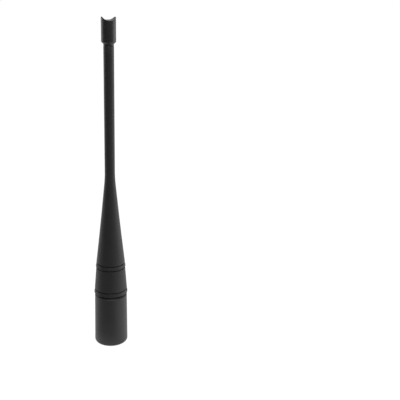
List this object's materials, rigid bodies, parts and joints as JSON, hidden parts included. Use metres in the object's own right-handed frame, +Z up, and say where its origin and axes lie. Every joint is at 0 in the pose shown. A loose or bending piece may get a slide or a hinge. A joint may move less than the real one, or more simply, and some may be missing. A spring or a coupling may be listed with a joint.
{
  "type": "uhf whip antenna",
  "caption": "Flexible whip antenna with a ringed conical boot, a straight base sleeve over a recessed threaded coaxial connector, and a tip cap with a saddle notch.",
  "frame": {"origin": "middle of the base sleeve's rim, on the surface that the antenna stands on", "axes": "+Z up along the antenna's axis, from the connector to the tip; the notch across the tip cap runs along Y"},
  "size_m": [0.0168, 0.0168, 0.165],
  "materials": {
    "sheath_rubber": "matte black, smooth moulded",
    "base_plastic": "matte black, fine moulded texture",
    "cap_plastic": "matte black",
    "connector_brass": "turned, thin gold plate",
    "ferrule_brass": "turned",
    "washer_steel": "zinc plated",
    "seal_rubber": "matte black",
    "dielectric_white": "white fluoropolymer",
    "former_plastic": "natural moulded",
    "coil_wire": "enamelled copper",
    "cable_steel": "stranded cable",
    "shrink_plastic": "black heat-shrink",
    "core_plastic": "dark grey moulded"
  },
  "bodies": {
    "root": {"tip_cap": "cap_plastic", "tip_ferrule": "ferrule_brass", "whip_cable": "cable_steel", "whip_sheath": "sheath_rubber", "heat_shrink": "shrink_plastic", "cable_ferrule": "ferrule_brass", "core_moulding": "core_plastic", "coil_former": "former_plastic", "matching_coil": "coil_wire", "base_sleeve": "base_plastic", "connector_carrier": "core_plastic", "lock_nut": "ferrule_brass", "lock_washer": "washer_steel", "connector_body": "connector_brass", "flange_seal": "seal_rubber", "face_gasket": "seal_rubber", "front_dielectric": "dielectric_white", "rear_dielectric": "dielectric_white", "socket_contact": "connector_brass"}
  },
  "joints": []
}
